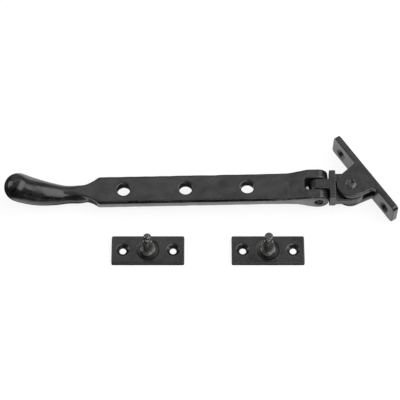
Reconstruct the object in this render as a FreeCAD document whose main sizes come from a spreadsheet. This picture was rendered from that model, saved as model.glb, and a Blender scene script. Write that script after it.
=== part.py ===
import FreeCAD, Part
import math
import os
import re

import Sketcher

"""A casement window stay: peardrop arm, swivel knuckle, screw-on bracket and two pin plates.

Everything is in millimetres, with +X from the handle to the bracket, +Y across the arm and
+Z up.  The set lies on the floor plane Z = 0 and is centred on its own footprint.
"""

DOC = FreeCAD.newDocument("CasementStay")
VECTOR = FreeCAD.Vector
UP = VECTOR(0, 0, 1)
ALONG = VECTOR(1, 0, 0)
ACROSS = VECTOR(0, 1, 0)

# alias, value, what it is
SIZES = [
    ("arm_reach", 221.0, "fork pin axis to the end of the handle"),
    ("handle_long", 66.0, "shoulder of the bar to the end of the handle"),
    ("bar_wide", 21.8, "width of the flat bar"),
    ("bar_thick", 7.4, "thickness of the flat bar"),
    ("bar_edge", 0.8, "rounding of the bar's long edges"),
    ("peg_first", 50.0, "fork pin axis to the nearest peg hole"),
    ("peg_last", 17.7, "last peg hole to the shoulder of the bar"),
    ("peg_play", 1.0, "radial play of a peg in its hole"),
    ("peg_rim", 0.5, "chamfer round a peg hole"),
    ("peg_count", 3, "number of peg holes"),
    ("fork_wide", 23.4, "width over the fork's cheeks"),
    ("fork_tall", 14.5, "height of the fork, rounded about its pin"),
    ("fork_level", 7.0, "length of full height behind the pin, on top"),
    ("fork_ramp", 14.5, "length of the ramp from the bar up to the fork"),
    ("fork_heel", 14.0, "fork pin axis to the start of the drop, underneath"),
    ("slot_deep", 10.0, "fork pin axis to the root of the slot, at the top"),
    ("slot_lean", 4.2, "how far the slot's root leans towards the pin, top to bottom"),
    ("neck_rad", 6.6, "radius of the handle's neck"),
    ("neck_drop", 2.6, "neck axis below the middle of the bar"),
    ("neck_half", 4.2, "half width of the blade where it meets the neck"),
    ("shoulder_long", 15.5, "length of the swept shoulders"),
    ("tail_deep", 7.2, "depth of the shoulder's underside where it meets the neck"),
    ("root_long", 4.0, "how far the neck tapers away inside the bar"),
    ("root_rad", 2.6, "radius of the neck's tapered root"),
    ("bulb_rad", 10.2, "radius of the handle's round end"),
    ("bend_rad", 50.0, "radius of the handle's upward bend"),
    ("bend_turn", 41.0, "angle of the handle's upward bend"),
    ("flat_long", 25.5, "shoulder of the bar to the end of the flat on the neck"),
    ("flat_rad", 5.2, "end radius of the flat on the neck"),
    ("pin_rad", 2.9, "radius of the fork pin"),
    ("pin_sink", 0.7, "depth of the pin's ends below the cheeks"),
    ("pin_play", 0.08, "radial play of the swivel on its pins"),
    ("pin_edge", 0.4, "chamfer on the pin's ends"),
    ("tongue_wide", 7.8, "width of the swivel's tongue"),
    ("tongue_play", 0.5, "gap each side of the tongue"),
    ("knuckle_tall", 13.6, "height of the tongue and the flange"),
    ("nose_gap", 0.35, "gap between the fork's nose and the flange"),
    ("flange_thick", 4.6, "thickness of the flange"),
    ("flange_corner", 1.0, "rounding of the flange's corners"),
    ("flange_wide", 22.0, "width of the flange"),
    ("lug_wide", 21.8, "width of the swivel's flat lug"),
    ("lug_thick", 6.2, "thickness of the flat lug"),
    ("ear_gap", 0.3, "gap above and below the lug"),
    ("turn_gap", 0.35, "gap between the flange and the ears' nose"),
    ("ear_rad", 10.3, "nose radius of the bracket's ears"),
    ("ear_thick", 4.2, "thickness of each ear"),
    ("ear_flare", 12.2, "half width of the ears at the plate"),
    ("ear_root", 2.0, "fillet where the ears meet the plate"),
    ("rivet_rad", 3.0, "radius of the pivot rivet"),
    ("head_rad", 4.3, "radius of the rivet's peened ends"),
    ("head_flat", 2.4, "radius of the flat in the middle of the rivet's ends"),
    ("head_rise", 0.6, "height of the rivet's peened ends"),
    ("plate_at", 12.0, "rivet axis to the face of the fixing plate"),
    ("plate_long", 71.6, "length of the fixing plate"),
    ("plate_shift", 1.8, "plate's middle past the rivet, towards its far end"),
    ("plate_tall", 18.5, "height of the fixing plate"),
    ("plate_thick", 4.7, "thickness of the fixing plate"),
    ("plate_corner", 2.6, "corner radius of the fixing plate"),
    ("plate_screws", 51.8, "spacing of the fixing plate's screw holes"),
    ("screw_high", 8.0, "height of the fixing plate's screw holes"),
    ("screw_rad", 2.3, "radius of a screw hole"),
    ("sink_rad", 4.6, "radius of a countersink"),
    ("pad_long", 51.0, "length of a pin plate"),
    ("pad_wide", 21.6, "width of a pin plate"),
    ("pad_thick", 3.6, "thickness of a pin plate"),
    ("pad_corner", 0.9, "corner radius of a pin plate"),
    ("pad_screws", 35.2, "spacing of a pin plate's screw holes"),
    ("dish_rad", 7.8, "radius of the seat turned in a pin plate"),
    ("dish_deep", 0.7, "depth of that seat"),
    ("tenon_rad", 2.6, "radius of the peg's riveted tenon"),
    ("collar_rad", 5.75, "radius of the peg's collar"),
    ("collar_rise", 3.2, "height of the collar above the plate"),
    ("collar_edge", 0.6, "chamfer on the peg's collar"),
    ("peg_rad", 3.5, "radius of a peg"),
    ("peg_rise", 20.6, "height of a peg above its plate"),
    ("peg_neck", 2.3, "radius of the groove under a peg's tip"),
    ("tip_rad", 2.95, "radius of a peg's tip"),
    ("tip_long", 4.2, "length of a peg's tip"),
    ("left_tip_rise", 2.4, "height of the cone that ends the left peg"),
    ("left_tip_flat", 1.0, "radius of the flat on the left peg's end"),
    ("right_tip_rise", 0.8, "height of the cone that ends the right peg"),
    ("right_tip_flat", 2.1, "radius of the flat on the right peg's end"),
    ("groove_long", 2.2, "length of the groove under the tip"),
    ("pin_high", 12.6, "height of the fork pin above the floor"),
    ("arm_turn", 0.8, "turn of the arm in plan, as it lies"),
    ("bracket_turn", 33.7, "direction of the bracket in plan, as it lies"),
    ("pads_ahead", 44.3, "arm to the middle of the pin plates"),
    ("left_pad_back", 119.8, "fork pin axis to the left pin plate"),
    ("right_pad_back", 35.9, "fork pin axis to the right pin plate"),
]


# ---------------------------------------------------------------- sheet and expressions

def make_sheet():
    """Write the driving sizes into a spreadsheet, one alias per row."""
    sheet = DOC.addObject("Spreadsheet::Sheet", "Sizes")
    for row, (alias, value, meaning) in enumerate(SIZES, start=1):
        sheet.set("A%d" % row, alias)
        sheet.set("B%d" % row, str(value))
        sheet.set("C%d" % row, meaning)
        sheet.setAlias("B%d" % row, alias)
    DOC.recompute()
    return sheet


SHEET = make_sheet()
ALIASES = {alias for alias, _, _ in SIZES}


def bound(formula):
    """Return the formula with each alias pointing at the sheet."""
    return re.sub(r"[a-z_]+", lambda word: "Sizes." + word[0] if word[0] in ALIASES else word[0],
                  formula)


def size(formula):
    """Return the number that a formula of the sheet's sizes gives now."""
    return float(SHEET.evalExpression(bound(formula)))


def bind(thing, **formulas):
    """Bind properties of a document object to formulas of the sheet's sizes."""
    for name, formula in formulas.items():
        thing.setExpression(name.replace("__", "."), bound(formula))
    return thing


# ---------------------------------------------------------------- sketches and features

def new_body(label):
    """Start a PartDesign body."""
    body = DOC.addObject("PartDesign::Body", label)
    body.Label = label
    return body


def origin_part(body, role):
    """Return one of the body's own origin planes or axes."""
    return next(part for part in body.Origin.OriginFeatures if part.Role == role)


def new_sketch(body, name, plane, **offsets):
    """Attach a sketch to an origin plane, moved by the formulas x, y and z in its own frame."""
    sketch = body.newObject("Sketcher::SketchObject", name)
    sketch.AttachmentSupport = [(origin_part(body, plane), "")]
    sketch.MapMode = "FlatFace"
    for letter, formula in offsets.items():
        sketch.setExpression("AttachmentOffset.Base." + letter, bound(formula))
    DOC.recompute()
    return sketch


def pin_down(sketch, geometry, point, corner, tag):
    """Fix a point's x and y by formulas; a formula that starts with ~ only says where to start."""
    for kind, axis, formula in (("DistanceX", -2, corner[0]), ("DistanceY", -1, corner[1])):
        if formula.startswith("~"):
            continue
        if formula == "0":
            sketch.addConstraint(Sketcher.Constraint("PointOnObject", geometry, point, axis))
            continue
        index = sketch.addConstraint(
            Sketcher.Constraint(kind, -1, 1, geometry, point, size(formula)))
        name = tag + kind[-1]
        sketch.renameConstraint(index, name)
        sketch.setExpression("Constraints." + name, bound(formula))


def set_radius(sketch, geometry, formula, tag):
    """Bind the radius of a circle or an arc."""
    index = sketch.addConstraint(Sketcher.Constraint("Radius", geometry, size(formula)))
    sketch.renameConstraint(index, tag)
    sketch.setExpression("Constraints." + tag, bound(formula))


def start_of(corner):
    """Return the starting place of a corner given by formulas."""
    return VECTOR(size(corner[0].lstrip("~")), size(corner[1].lstrip("~")), 0)


def outline(sketch, corners, arcs=None, smooth=()):
    """Draw a closed outline through corners given by formulas.

    arcs maps a corner's number to (centre x, centre y, radius, turn) for the side that leaves
    it, where turn is +1 for counter-clockwise; smooth lists the corners that are tangent.
    """
    arcs = arcs or {}
    places = [start_of(corner) for corner in corners]
    first = sketch.GeometryCount
    ends = []
    for number, place in enumerate(places):
        following = places[(number + 1) % len(places)]
        if number in arcs:
            centre_x, centre_y, radius, turn = arcs[number]
            centre = start_of((centre_x, centre_y))
            angles = [math.atan2(spot.y - centre.y, spot.x - centre.x)
                      for spot in (place, following)]
            circle = Part.Circle(centre, UP, size(radius))
            sketch.addGeometry(Part.ArcOfCircle(circle, *(angles[::turn])))
            ends.append((1, 2)[::turn])
        else:
            sketch.addGeometry(Part.LineSegment(place, following))
            ends.append((1, 2))
    for number in range(len(places)):
        before = (number - 1) % len(places)
        kind = "Tangent" if number in smooth else "Coincident"
        sketch.addConstraint(Sketcher.Constraint(
            kind, first + before, ends[before][1], first + number, ends[number][0]))
    for number, corner in enumerate(corners):
        pin_down(sketch, first + number, ends[number][0], corner, "p%d" % (first + number))
    for number, (centre_x, centre_y, radius, _) in arcs.items():
        pin_down(sketch, first + number, 3, (centre_x, centre_y), "m%d" % (first + number))
        set_radius(sketch, first + number, radius, "r%d" % (first + number))


def circle(sketch, centre, radius):
    """Draw a circle with its centre and radius given by formulas."""
    number = sketch.addGeometry(Part.Circle(start_of(centre), UP, size(radius)))
    pin_down(sketch, number, 3, centre, "m%d" % number)
    set_radius(sketch, number, radius, "r%d" % number)


def box_outline(low_x, low_y, high_x, high_y):
    """Return the four corners of a rectangle."""
    return [(low_x, low_y), (high_x, low_y), (high_x, high_y), (low_x, high_y)]


def feature(body, kind, name, sketch, **formulas):
    """Add a pad, pocket, revolution or groove made from a sketch."""
    made = body.newObject("PartDesign::" + kind, name)
    made.Profile = sketch
    return bind(made, **formulas)


def pad(body, name, sketch, length, midplane=False):
    """Add a pad along the sketch's normal, or both ways about its plane."""
    made = feature(body, "Pad", name, sketch, Length=length)
    made.Midplane = midplane
    DOC.recompute()
    return made


def cut_through(body, name, sketch):
    """Cut a sketch through the whole body, both ways."""
    before = body.Shape.Volume
    made = feature(body, "Pocket", name, sketch)
    made.Type = "ThroughAll"
    made.Midplane = True
    DOC.recompute()
    expect_less(body, before, name)
    return made


def turned(body, kind, name, sketch, axis):
    """Add a full revolution or groove about one of the sketch's own axes."""
    before = body.Shape.Volume if kind == "Groove" else None
    made = feature(body, kind, name, sketch)
    made.ReferenceAxis = (sketch, [axis])
    made.Angle = 360
    DOC.recompute()
    if before is not None:
        expect_less(body, before, name)
    return made


def mirrored(body, name, original, plane):
    """Repeat a cut on the other side of an origin plane."""
    before = body.Shape.Volume
    made = body.newObject("PartDesign::Mirrored", name)
    made.Originals = [original]
    made.MirrorPlane = (origin_part(body, plane), [""])
    body.Tip = made
    DOC.recompute()
    expect_less(body, before, name)
    return made


def expect_less(body, before, name):
    """Stop if a cut took nothing away."""
    if body.Shape.Volume > before - 0.1:
        raise RuntimeError(name + " cuts nothing")


def dress(body, kind, name, base, chosen, **formulas):
    """Add a fillet or chamfer on the edges of the base feature that the test picks."""
    names = ["Edge%d" % number for number, edge in enumerate(base.Shape.Edges, start=1)
             if chosen(edge)]
    if not names:
        raise RuntimeError(name + " finds no edges")
    made = body.newObject("PartDesign::" + kind, name)
    made.Base = (base, names)
    bind(made, **formulas)
    body.Tip = made
    DOC.recompute()
    return made


def near(first, second, reach=0.01):
    """Tell whether two numbers are equal within the modelling tolerance."""
    return abs(first - second) < reach


# ---------------------------------------------------------------- the arm

BAR_LONG = "(arm_reach - handle_long)"
PEG_PITCH = "((%s - peg_first - peg_last) / (peg_count - 1))" % BAR_LONG


def shoulder_radius():
    """Return the formula of the radius that sweeps the bar into the neck."""
    drop = "(bar_wide / 2 - neck_half)"
    return "((shoulder_long * shoulder_long + %s * %s) / (2 * %s))" % (drop, drop, drop)


def make_blade():
    """Make the flat bar with its fork, slot, pin hole and peg holes, about the fork pin."""
    body = new_body("arm_blade")
    side = new_sketch(body, "side_profile", "XZ_Plane")
    shoulder = "-" + BAR_LONG
    tail = shoulder + " - shoulder_long"
    outline(side, [
        (tail, "-tail_deep"),
        (shoulder, "-bar_thick / 2"),
        ("-fork_heel", "-bar_thick / 2"),
        ("0", "~-fork_tall / 2"),
        ("0", "~fork_tall / 2"),
        ("-fork_level", "fork_tall / 2"),
        ("-fork_level - fork_ramp", "bar_thick / 2"),
        (tail, "bar_thick / 2"),
    ], arcs={3: ("0", "0", "fork_tall / 2", 1)})
    blade = pad(body, "blade", side, "fork_wide", midplane=True)
    soft = dress(body, "Fillet", "ramp_curves", blade, ramp_corner, Radius="fork_ramp / 2")
    plan = new_sketch(body, "plan_trim", "XY_Plane")
    for sign, turn in (("", 1), ("-", -1)):
        corners = [
            (tail, sign + "neck_half"),
            (shoulder, sign + "bar_wide / 2"),
            ("-fork_level - fork_ramp", sign + "bar_wide / 2"),
            ("-fork_level", sign + "fork_wide / 2"),
            ("-fork_level", sign + "fork_wide"),
            (tail, sign + "fork_wide"),
        ]
        middle = ("~" + tail, "~%s(neck_half + %s)" % (sign, shoulder_radius()))
        outline(plan, corners, arcs={0: (*middle, shoulder_radius(), turn)})
    cut_through(body, "plan_cut", plan)
    slot = new_sketch(body, "slot_outline", "XZ_Plane")
    outline(slot, [
        ("-slot_deep - slot_lean / 2", "fork_tall"),
        ("-slot_deep + slot_lean * 3 / 2", "-fork_tall"),
        ("fork_tall", "-fork_tall"),
        ("fork_tall", "fork_tall"),
    ])
    before = body.Shape.Volume
    gap = feature(body, "Pocket", "fork_slot", slot, Length="tongue_wide + 2 * tongue_play")
    gap.Midplane = True
    DOC.recompute()
    expect_less(body, before, gap.Name)
    eye = new_sketch(body, "pin_hole_outline", "XZ_Plane")
    circle(eye, ("0", "0"), "pin_rad")
    cut_through(body, "pin_hole", eye)
    hole = new_sketch(body, "peg_hole_outline", "XY_Plane")
    circle(hole, ("-peg_first", "0"), "peg_rad + peg_play")
    first = cut_through(body, "peg_hole", hole)
    row = body.newObject("PartDesign::LinearPattern", "peg_holes")
    row.Originals = [first]
    row.Direction = (origin_part(body, "X_Axis"), [""])
    row.Reversed = True
    bind(row, Length=PEG_PITCH + " * (peg_count - 1)", Occurrences="peg_count")
    body.Tip = row
    DOC.recompute()
    rims = dress(body, "Chamfer", "peg_rims", row, peg_rim_edge, Size="peg_rim")
    top = dress(body, "Fillet", "top_edges", rims,
                lambda edge: long_edge(edge) and edge.CenterOfMass.z > 0, Radius="bar_edge")
    dress(body, "Fillet", "bottom_edges", top,
          lambda edge: long_edge(edge) and edge.CenterOfMass.z < 0, Radius="bar_edge")
    return body


def ramp_corner(edge):
    """Pick the two bends of the ramp between the bar's top and the fork's top."""
    middle = edge.CenterOfMass
    if not near(edge.BoundBox.YLength, size("fork_wide"), 0.1):
        return False
    low = near(middle.x, size("-fork_level - fork_ramp")) and middle.z > 0
    high = near(middle.x, size("-fork_level")) and middle.z > 0
    return low or high


def peg_rim_edge(edge):
    """Pick the peg holes' rims on both faces of the bar."""
    if edge.Curve.TypeId != "Part::GeomCircle" or not near(edge.BoundBox.ZLength, 0):
        return False
    on_row = near(edge.Curve.Center.y, 0) and edge.Curve.Center.x < size("-slot_deep")
    return on_row and near(edge.Curve.Radius, size("peg_rad + peg_play"))


def long_edge(edge):
    """Pick the straight edges along both sides of the bar."""
    box = edge.BoundBox
    straight = near(box.YLength, 0) and near(box.ZLength, 0) and box.XLength > size(PEG_PITCH)
    return straight and near(abs(edge.CenterOfMass.y), size("bar_wide / 2"))


def handle_stations():
    """Return formulas (x, z, angle, radius) for the handle's sections, from root to bulb."""
    start = "(arm_reach - bulb_rad - bend_rad * sin(bend_turn * 1deg))"
    stations = []
    for step in range(4):
        share = step / 3
        reach = "(%s - root_long + (shoulder_long + root_long) * %g)" % (BAR_LONG, share)
        grown = "sin(90deg * %g)" % share
        radius = "root_rad + (neck_rad - root_rad) * " + grown
        stations.append(("-" + reach, "-neck_drop * " + grown, "90deg", radius))
    for step in range(7):
        share = step / 6
        angle = "bend_turn * %g * 1deg" % share
        stations.append((
            "-%s - bend_rad * sin(%s)" % (start, angle),
            "-neck_drop + bend_rad * (1 - cos(%s))" % angle,
            "90deg + " + angle,
            "neck_rad + (bulb_rad - neck_rad) * sin(90deg * %g)" % share))
    return stations


def make_handle():
    """Make the bent peardrop handle: a loft of round sections closed by a ball."""
    stations = handle_stations()
    rings = []
    for number, (along, height, angle, radius) in enumerate(stations):
        ring = DOC.addObject("Part::Circle", "handle_ring_%d" % number)
        ring.Placement = FreeCAD.Placement(VECTOR(), FreeCAD.Rotation(ACROSS, 90))
        bind(ring, Radius=radius, Placement__Base__x=along, Placement__Base__z=height,
             Placement__Rotation__Angle=angle)
        rings.append(ring)
    stem = DOC.addObject("Part::Loft", "handle_stem")
    stem.Sections = rings
    stem.Solid = True
    ball = DOC.addObject("Part::Sphere", "handle_ball")
    bind(ball, Radius="bulb_rad", Placement__Base__x=stations[-1][0],
         Placement__Base__z=stations[-1][1])
    handle = DOC.addObject("Part::Fuse", "handle")
    handle.Base = stem
    handle.Tool = ball
    return handle


def make_flat():
    """Make the block that is taken off the neck to carry the bar's flat top along it."""
    centre = "flat_rad - flat_long - " + BAR_LONG
    block = bind(DOC.addObject("Part::Box", "flat_block"),
                 Length="flat_long - flat_rad + root_long", Width="2 * flat_rad",
                 Height="neck_rad", Placement__Base__x=centre,
                 Placement__Base__y="-flat_rad", Placement__Base__z="bar_thick / 2")
    end = bind(DOC.addObject("Part::Cylinder", "flat_end"),
               Radius="flat_rad", Height="neck_rad",
               Placement__Base__x=centre, Placement__Base__z="bar_thick / 2")
    flat = DOC.addObject("Part::Fuse", "neck_flat")
    flat.Base = block
    flat.Tool = end
    return flat


def make_arm():
    """Join blade and handle into one forging and flatten the top of its neck."""
    whole = DOC.addObject("Part::Fuse", "arm_forging")
    whole.Base = make_blade()
    whole.Tool = make_handle()
    arm = DOC.addObject("Part::Cut", "stay_arm")
    arm.Base = whole
    arm.Tool = make_flat()
    arm.Label = "stay_arm"
    DOC.recompute()
    return arm


def make_hinge_pin():
    """Make the pin that the fork's cheeks hold, along Y."""
    body = new_body("hinge_pin")
    end = new_sketch(body, "pin_outline", "XZ_Plane")
    circle(end, ("0", "0"), "pin_rad")
    shank = pad(body, "pin_shank", end, "fork_wide - 2 * pin_sink", midplane=True)
    dress(body, "Chamfer", "pin_ends", shank,
          lambda edge: edge.Curve.TypeId == "Part::GeomCircle", Size="pin_edge")
    return body


# ---------------------------------------------------------------- the swivel

FLANGE_AT = "(fork_tall / 2 + nose_gap)"
RIVET_AT = "(fork_tall / 2 + nose_gap + flange_thick + turn_gap + ear_rad)"
LUG_TOP = "(plate_tall - ear_thick - ear_gap - pin_high)"


def make_swivel():
    """Make the knuckle: tongue in the fork, square flange and flat lug, about the fork pin."""
    body = new_body("swivel")
    side = new_sketch(body, "tongue_outline", "XZ_Plane")
    outline(side, [
        ("0", "~-knuckle_tall / 2"),
        (FLANGE_AT + " + flange_thick / 2", "-knuckle_tall / 2"),
        (FLANGE_AT + " + flange_thick / 2", "knuckle_tall / 2"),
        ("0", "~knuckle_tall / 2"),
    ], arcs={3: ("0", "0", "knuckle_tall / 2", 1)})
    pad(body, "tongue", side, "tongue_wide", midplane=True)
    face = new_sketch(body, "flange_outline", "YZ_Plane", z=FLANGE_AT)
    outline(face, box_outline("-flange_wide / 2", "-knuckle_tall / 2",
                              "flange_wide / 2", "knuckle_tall / 2"))
    flange = pad(body, "flange", face, "flange_thick")
    dress(body, "Fillet", "flange_corners", flange, flange_corner, Radius="flange_corner")
    plan = new_sketch(body, "lug_outline", "XY_Plane", z=LUG_TOP + " - lug_thick")
    outline(plan, [
        (FLANGE_AT + " + flange_thick / 2", "-lug_wide / 2"),
        (RIVET_AT, "~-lug_wide / 2"),
        (RIVET_AT, "~lug_wide / 2"),
        (FLANGE_AT + " + flange_thick / 2", "lug_wide / 2"),
    ], arcs={1: (RIVET_AT, "0", "lug_wide / 2", 1)})
    pad(body, "lug", plan, "lug_thick")
    eye = new_sketch(body, "tongue_eye", "XZ_Plane")
    circle(eye, ("0", "0"), "pin_rad + pin_play")
    cut_through(body, "pin_bore", eye)
    hole = new_sketch(body, "lug_eye", "XY_Plane")
    circle(hole, (RIVET_AT, "0"), "rivet_rad + pin_play")
    cut_through(body, "rivet_bore", hole)
    return body


def flange_corner(edge):
    """Pick the four edges along X at the flange's corners."""
    box = edge.BoundBox
    along = near(box.XLength, size("flange_thick")) and near(box.YLength, 0)
    return along and near(abs(edge.CenterOfMass.y), size("flange_wide / 2"))


# ---------------------------------------------------------------- the bracket

def countersunk(body, name, plane, axis, face, back, **offsets):
    """Groove a countersunk screw hole whose axis is the sketch's own H or V axis."""
    sketch = new_sketch(body, name + "_profile", plane, **offsets)
    sign = "-" if size(face) > size(back) else "+"
    waist = "%s %s (sink_rad - screw_rad)" % (face, sign)
    steps = [(face, "0"), (face, "sink_rad"), (waist, "screw_rad"), (back, "screw_rad"),
             (back, "0")]
    if axis == "V_Axis":
        steps = [(across, along) for along, across in steps]
    outline(sketch, steps)
    return turned(body, "Groove", name, sketch, axis)


def make_bracket():
    """Make the standing fixing plate with its pair of ears, about the rivet at floor height."""
    body = new_body("bracket")
    plan = new_sketch(body, "ear_outline", "XY_Plane",
                      z="plate_tall - 2 * (ear_thick + ear_gap) - lug_thick")
    inside = "plate_at + plate_thick / 2"
    outline(plan, [
        (inside, "-ear_flare"),
        (inside, "ear_flare"),
        ("plate_at", "ear_flare"),
        ("~-0.13 * ear_rad", "~0.99 * ear_rad"),
        ("~-0.13 * ear_rad", "~-0.99 * ear_rad"),
        ("plate_at", "-ear_flare"),
    ], arcs={3: ("0", "0", "ear_rad", 1)}, smooth=(3, 4))
    pad(body, "ears", plan, "2 * (ear_thick + ear_gap) + lug_thick")
    face = new_sketch(body, "plate_outline", "YZ_Plane", z="plate_at")
    outline(face, box_outline("plate_shift - plate_long / 2", "0",
                              "plate_shift + plate_long / 2", "plate_tall"))
    plate = pad(body, "plate", face, "plate_thick")
    dress(body, "Fillet", "plate_corners", plate, plate_corner, Radius="plate_corner")
    roots = dress(body, "Fillet", "ear_roots", body.Tip, ear_root, Radius="ear_root")
    mouth = new_sketch(body, "mouth_outline", "XY_Plane", z="plate_tall - ear_thick")
    outline(mouth, box_outline("-2 * ear_rad", "-2 * ear_flare", "plate_at", "2 * ear_flare"))
    before = roots.Shape.Volume
    gap = feature(body, "Pocket", "mouth", mouth, Length="lug_thick + 2 * ear_gap")
    DOC.recompute()
    expect_less(body, before, gap.Name)
    eye = new_sketch(body, "rivet_hole_outline", "XY_Plane")
    circle(eye, ("0", "0"), "rivet_rad")
    cut_through(body, "rivet_hole", eye)
    for name, sign in (("far", "+"), ("near", "-")):
        countersunk(body, "screw_hole_" + name, "XY_Plane", "H_Axis", "plate_at",
                    "plate_at + plate_thick",
                    y="plate_shift %s plate_screws / 2" % sign, z="screw_high")
    return body


def plate_corner(edge):
    """Pick the four edges along X at the fixing plate's corners."""
    return (near(edge.BoundBox.XLength, size("plate_thick"))
            and near(abs(edge.CenterOfMass.y - size("plate_shift")), size("plate_long / 2")))


def ear_root(edge):
    """Pick the two upright edges where the ears meet the plate."""
    box = edge.BoundBox
    upright = near(box.XLength, 0) and near(box.YLength, 0) and box.ZLength > size("lug_thick")
    middle = edge.CenterOfMass
    return (upright and near(middle.x, size("plate_at"))
            and near(abs(middle.y), size("ear_flare")))


def make_rivet():
    """Make the upright rivet with its two peened ends, in the bracket's frame."""
    body = new_body("pivot_rivet")
    low = "plate_tall - 2 * (ear_thick + ear_gap) - lug_thick"
    half = new_sketch(body, "rivet_profile", "XZ_Plane")
    outline(half, [
        ("0", low + " - head_rise"),
        ("head_flat", low + " - head_rise"),
        ("head_rad", low),
        ("rivet_rad", low),
        ("rivet_rad", "plate_tall"),
        ("head_rad", "plate_tall"),
        ("head_flat", "plate_tall + head_rise"),
        ("0", "plate_tall + head_rise"),
    ])
    turned(body, "Revolution", "rivet_turned", half, "V_Axis")
    return body


# ---------------------------------------------------------------- the pin plates and pegs

def make_pad(label):
    """Make a pin plate: countersunk at both ends and dished for its peg."""
    body = new_body(label)
    plan = new_sketch(body, label + "_outline", "XY_Plane")
    outline(plan, box_outline("-pad_long / 2", "-pad_wide / 2", "pad_long / 2", "pad_wide / 2"))
    slab = pad(body, label + "_slab", plan, "pad_thick")
    dress(body, "Fillet", label + "_corners", slab, pad_corner, Radius="pad_corner")
    seat = new_sketch(body, label + "_dish_outline", "XY_Plane", z="pad_thick")
    circle(seat, ("0", "0"), "dish_rad")
    before = body.Shape.Volume
    dish = feature(body, "Pocket", label + "_dish", seat, Length="dish_deep")
    DOC.recompute()
    expect_less(body, before, dish.Name)
    eye = new_sketch(body, label + "_eye", "XY_Plane")
    circle(eye, ("0", "0"), "tenon_rad")
    cut_through(body, label + "_tenon_hole", eye)
    hole = countersunk(body, label + "_screw", "XZ_Plane", "V_Axis", "pad_thick", "0",
                       x="pad_screws / 2")
    mirrored(body, label + "_screws", hole, "YZ_Plane")
    return body


def pad_corner(edge):
    """Pick the four upright edges of a pin plate."""
    return near(edge.BoundBox.ZLength, size("pad_thick"))


def make_peg(label, tip):
    """Make a turned peg: tenon, collar, shank, groove and a coned tip of the named sizes."""
    body = new_body(label)
    half = new_sketch(body, label + "_profile", "XZ_Plane")
    floor = "pad_thick - dish_deep"
    top = "pad_thick + peg_rise"
    outline(half, [
        ("0", "0"),
        ("tenon_rad", "0"),
        ("tenon_rad", floor),
        ("collar_rad", floor),
        ("collar_rad", "pad_thick + collar_rise - collar_edge"),
        ("collar_rad - collar_edge", "pad_thick + collar_rise"),
        ("peg_rad", "pad_thick + collar_rise"),
        ("peg_rad", top + " - tip_long - groove_long"),
        ("peg_neck", top + " - tip_long - groove_long / 2"),
        ("tip_rad", top + " - tip_long"),
        ("tip_rad", "%s - %s_rise" % (top, tip)),
        (tip + "_flat", top),
        ("0", top),
    ])
    turned(body, "Revolution", label + "_turned", half, "V_Axis")
    return body


# ---------------------------------------------------------------- laying the set out

def lowest_under_tilt(shape, angle):
    """Return the lowest height of the arm for a tilt about the fork pin, handle down."""
    tilted = shape.copy()
    tilted.Placement = FreeCAD.Placement(
        VECTOR(0, 0, size("pin_high")), FreeCAD.Rotation(ACROSS, -angle))
    return tilted.optimalBoundingBox(False, False).ZMin


def resting_tilt(arm):
    """Find the tilt at which the handle's belly just touches the floor."""
    level, step = 0.0, 1.0
    heights = [lowest_under_tilt(arm.Shape, level), lowest_under_tilt(arm.Shape, step)]
    for _ in range(6):
        slope = (heights[1] - heights[0]) / (step - level)
        level, step = step, step - heights[1] / slope
        heights = [heights[1], lowest_under_tilt(arm.Shape, step)]
        if abs(heights[1]) < 1e-4:
            break
    return step


def lay_out(parts):
    """Place every sub-part as the set lies on the floor, centred on its footprint."""
    pin_place = VECTOR(0, 0, size("pin_high"))
    turn = FreeCAD.Rotation(UP, size("arm_turn"))
    tilt = resting_tilt(parts["stay_arm"])
    arm_frame = FreeCAD.Placement(pin_place, turn * FreeCAD.Rotation(ACROSS, -tilt))
    level_frame = FreeCAD.Placement(pin_place, turn)
    rivet_place = level_frame.multVec(VECTOR(size(RIVET_AT), 0, -size("pin_high")))
    bracket_frame = FreeCAD.Placement(
        rivet_place, FreeCAD.Rotation(UP, size("bracket_turn")))
    frames = {"stay_arm": arm_frame, "hinge_pin": arm_frame, "swivel": level_frame,
              "bracket": bracket_frame, "pivot_rivet": bracket_frame}
    for side, back in (("left", "left_pad_back"), ("right", "right_pad_back")):
        spot = FreeCAD.Placement(VECTOR(-size(back), -size("pads_ahead"), 0), FreeCAD.Rotation())
        frames["pin_plate_" + side] = spot
        frames["peg_" + side] = spot
    for name, frame in frames.items():
        parts[name].Placement = frame
    box = parts["stay_arm"].Shape.optimalBoundingBox(False, False)
    for part in parts.values():
        box.add(part.Shape.optimalBoundingBox(False, False))
    shift = VECTOR(-box.Center.x, -box.Center.y, 0)
    for name, frame in frames.items():
        frames[name] = FreeCAD.Placement(frame.Base + shift, frame.Rotation)
        parts[name].Placement = frames[name]
    print("tilt %.4f  box %.3f %.3f %.3f  low %.4f" % (
        tilt, box.XLength, box.YLength, box.ZLength, box.ZMin))
    return frames


def report(frames):
    """Print the places of the joints and mounts in the common frame."""
    arm, bracket = frames["stay_arm"], frames["bracket"]
    spots = {"fork_pin": (arm, VECTOR(), ACROSS),
             "rivet": (bracket, VECTOR(), UP),
             "plate_back": (bracket, VECTOR(size("plate_at + plate_thick"), 0,
                                            size("plate_tall / 2")), ALONG)}
    for number in range(int(size("peg_count"))):
        along = -size("peg_first + %s * %d" % (PEG_PITCH, number))
        spots["peg_hole_%d" % (number + 1)] = (arm, VECTOR(along, 0, 0), UP)
    for name, sign in (("far", 1), ("near", -1)):
        spots["screw_" + name] = (bracket, VECTOR(
            size("plate_at + plate_thick"),
            size("plate_shift") + sign * size("plate_screws / 2"),
            size("screw_high")), ALONG)
    for side in ("left", "right"):
        spots["pad_" + side] = (frames["pin_plate_" + side], VECTOR(), UP)
    for name, (frame, place, axis) in spots.items():
        spot, line = frame.multVec(place), frame.Rotation.multVec(axis)
        print("spot %s %.5f %.5f %.5f  %.6f %.6f %.6f" % (
            name, spot.x, spot.y, spot.z, line.x, line.y, line.z))


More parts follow.
